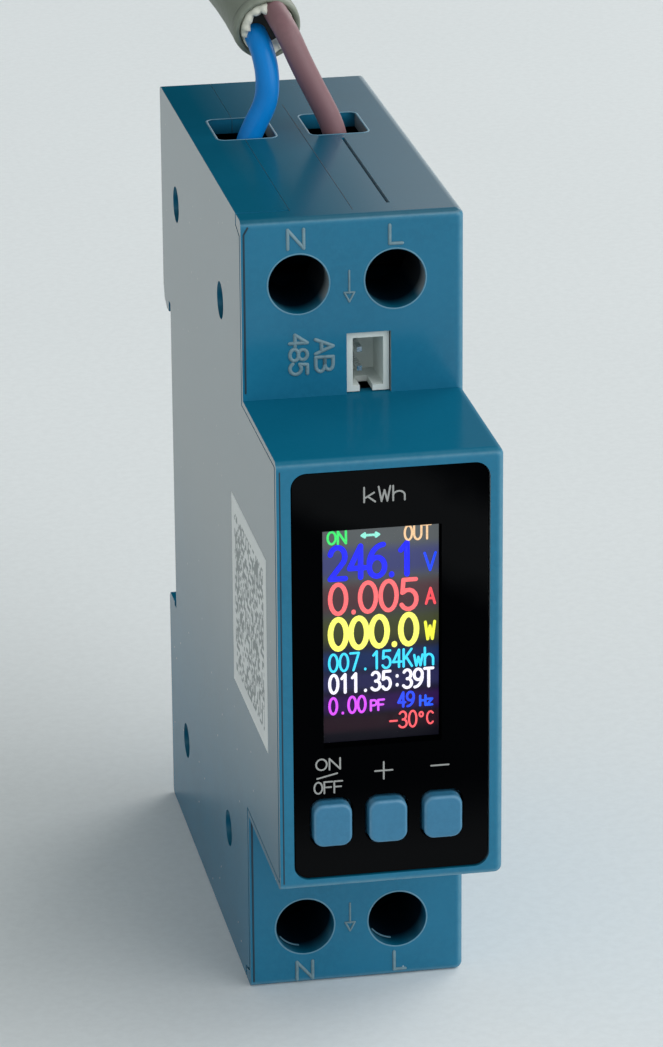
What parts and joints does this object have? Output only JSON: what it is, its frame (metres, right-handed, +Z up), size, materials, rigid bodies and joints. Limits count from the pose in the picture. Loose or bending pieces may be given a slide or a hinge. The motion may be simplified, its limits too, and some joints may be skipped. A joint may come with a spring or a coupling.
{
  "type": "energy meter",
  "caption": "Slim rail-mounted energy meter with colour display, press keys, screw cage clamps, sprung rail latch, inner boards, relay and a supply cable with plug.",
  "frame": {"origin": "centre of the case in plan, at the level of its lower end, with the cable left out of the count", "axes": "+Z up along the height, +Y to the back and the rail, +X to the right as seen from the front"},
  "size_m": [0.1542, 0.122, 0.1008],
  "materials": {
    "case_plastic": "satin, fine texture, steel blue",
    "key_plastic": "satin, lighter steel blue",
    "window_plastic": "clear and glossy over a dark print",
    "black_print": "matt black print",
    "black_plastic": "matt black",
    "switch_steel": "bright sheet",
    "display_glass": "dark clear glass",
    "backlight_plastic": "glossy white",
    "foam": "dark foam",
    "ribbon_film": "amber film",
    "circuit_board": "green lacquer",
    "capacitor_can": "sleeved can",
    "film_capacitor": "yellow box",
    "varistor": "blue coating",
    "resistor": "grey green coating",
    "gilt_pin": "gilt",
    "relay_plastic": "dark",
    "copper": "bright copper",
    "bobbin_plastic": "natural",
    "iron": "plated iron",
    "contact_silver": "silver face",
    "brass": "bright strip",
    "shunt_alloy": "dull resistance alloy",
    "zinc_steel": "zinc plated",
    "connector_plastic": "white",
    "latch_plastic": "matt black",
    "spring_steel": "bright wire",
    "label_film": "pale film",
    "blue_insulation": "blue insulation",
    "brown_insulation": "brown insulation",
    "sheath": "pale soft sheath",
    "plug_plastic": "pale moulded plug",
    "plug_pin_brass": "nickel plated"
  },
  "bodies": {
    "case": {"main_shell": "case_plastic", "left_cover": "case_plastic", "display_window": "window_plastic", "window_mask": "black_print", "key_switches": "switch_steel", "display_glass": "display_glass", "display_backlight": "backlight_plastic", "display_pad": "foam", "display_ribbon": "ribbon_film", "display_board": "circuit_board", "main_board": "circuit_board", "board_chips": "black_plastic", "bridge_rectifier": "black_plastic", "supply_capacitors": "capacitor_can", "film_capacitor": "film_capacitor", "surge_varistor": "varistor", "supply_choke": "black_plastic", "fuse_resistor": "resistor", "link_header": "black_plastic", "link_pins": "gilt_pin", "relay_base": "black_plastic", "relay_cover": "relay_plastic", "relay_coil": "copper", "relay_bobbin": "bobbin_plastic", "relay_core": "iron", "neutral_bar": "brass", "live_bar_supply": "brass", "current_shunt": "shunt_alloy", "live_bar_load": "brass", "live_bar_link": "brass", "data_connector": "connector_plastic", "data_pins": "gilt_pin", "case_screws": "zinc_steel", "side_label": "label_film", "blue_core": "blue_insulation", "brown_core": "brown_insulation", "core_ends": "copper", "cable_lead": "sheath", "cable_coil": "sheath", "plug_body": "plug_plastic", "plug_pins": "plug_pin_brass"},
    "on_off_key": {"on_off_button": "key_plastic"},
    "plus_key": {"plus_button": "key_plastic"},
    "minus_key": {"minus_button": "key_plastic"},
    "on_off_pusher": {"on_off_plunger": "black_plastic"},
    "plus_pusher": {"plus_plunger": "black_plastic"},
    "minus_pusher": {"minus_plunger": "black_plastic"},
    "armature": {"relay_armature": "iron", "moving_contact": "contact_silver"},
    "latch": {"din_latch": "latch_plastic", "latch_spring": "spring_steel"},
    "upper_neutral_clamp_screw": {"upper_neutral_screw": "zinc_steel"},
    "upper_neutral_clamp_cage": {"upper_neutral_cage": "zinc_steel"},
    "upper_live_clamp_screw": {"upper_live_screw": "zinc_steel"},
    "upper_live_clamp_cage": {"upper_live_cage": "zinc_steel"},
    "lower_neutral_clamp_screw": {"lower_neutral_screw": "zinc_steel"},
    "lower_neutral_clamp_cage": {"lower_neutral_cage": "zinc_steel"},
    "lower_live_clamp_screw": {"lower_live_screw": "zinc_steel"},
    "lower_live_clamp_cage": {"lower_live_cage": "zinc_steel"}
  },
  "joints": [
    {"name": "on_off_press", "type": "slide", "parent": "case", "child": "on_off_key", "axis": [0, 1, 0], "range_m": [0, 0.0003], "stiffness_N_per_m": 1500, "springref_m": -0.0002},
    {"name": "on_off_push", "type": "slide", "parent": "case", "child": "on_off_pusher", "axis": [0, 1, 0], "range_m": [0, 0.0003]},
    {"name": "plus_press", "type": "slide", "parent": "case", "child": "plus_key", "axis": [0, 1, 0], "range_m": [0, 0.0003], "stiffness_N_per_m": 1500, "springref_m": -0.0002},
    {"name": "plus_push", "type": "slide", "parent": "case", "child": "plus_pusher", "axis": [0, 1, 0], "range_m": [0, 0.0003]},
    {"name": "minus_press", "type": "slide", "parent": "case", "child": "minus_key", "axis": [0, 1, 0], "range_m": [0, 0.0003], "stiffness_N_per_m": 1500, "springref_m": -0.0002},
    {"name": "minus_push", "type": "slide", "parent": "case", "child": "minus_pusher", "axis": [0, 1, 0], "range_m": [0, 0.0003]},
    {"name": "armature_rock", "type": "hinge", "parent": "case", "child": "armature", "pos_m": [0.0002, 0.0095, 0.0503], "axis": [1, 0, 0], "range_deg": [0, 2.4], "stiffness_Nm_per_rad": 0.02, "springref_deg": -4.58},
    {"name": "upper_neutral_turn", "type": "hinge", "parent": "case", "child": "upper_neutral_clamp_screw", "pos_m": [-0.0055, 0.0079, 0.0762], "axis": [0, -1, 0], "range_deg": [0, 2314.3]},
    {"name": "upper_neutral_clamp", "type": "slide", "parent": "case", "child": "upper_neutral_clamp_cage", "axis": [0, 1, 0], "range_m": [0, 0.0045]},
    {"name": "upper_live_turn", "type": "hinge", "parent": "case", "child": "upper_live_clamp_screw", "pos_m": [0.00425, 0.0079, 0.0762], "axis": [0, -1, 0], "range_deg": [0, 2314.3]},
    {"name": "upper_live_clamp", "type": "slide", "parent": "case", "child": "upper_live_clamp_cage", "axis": [0, 1, 0], "range_m": [0, 0.0045]},
    {"name": "lower_neutral_turn", "type": "hinge", "parent": "case", "child": "lower_neutral_clamp_screw", "pos_m": [-0.0055, 0.0079, 0.0065], "axis": [0, 1, 0], "range_deg": [0, 2314.3]},
    {"name": "lower_neutral_clamp", "type": "slide", "parent": "case", "child": "lower_neutral_clamp_cage", "axis": [0, -1, 0], "range_m": [0, 0.0045]},
    {"name": "lower_live_turn", "type": "hinge", "parent": "case", "child": "lower_live_clamp_screw", "pos_m": [0.00425, 0.0079, 0.0065], "axis": [0, 1, 0], "range_deg": [0, 2314.3]},
    {"name": "lower_live_clamp", "type": "slide", "parent": "case", "child": "lower_live_clamp_cage", "axis": [0, -1, 0], "range_m": [0, 0.0045]},
    {"name": "latch_pull", "type": "slide", "parent": "case", "child": "latch", "axis": [0, 0, -1], "range_m": [0, 0.0025], "stiffness_N_per_m": 600, "springref_m": -0.002, "deforming": ["latch_spring"]}
  ],
  "couplings": [
    {"joint": "on_off_push", "follows": "on_off_press", "ratio": 1},
    {"joint": "plus_push", "follows": "plus_press", "ratio": 1},
    {"joint": "minus_push", "follows": "minus_press", "ratio": 1},
    {"joint": "upper_neutral_turn", "follows": "upper_neutral_clamp", "rad_per_m": 8976},
    {"joint": "upper_live_turn", "follows": "upper_live_clamp", "rad_per_m": 8976},
    {"joint": "lower_neutral_turn", "follows": "lower_neutral_clamp", "rad_per_m": 8976},
    {"joint": "lower_live_turn", "follows": "lower_live_clamp", "rad_per_m": 8976}
  ]
}
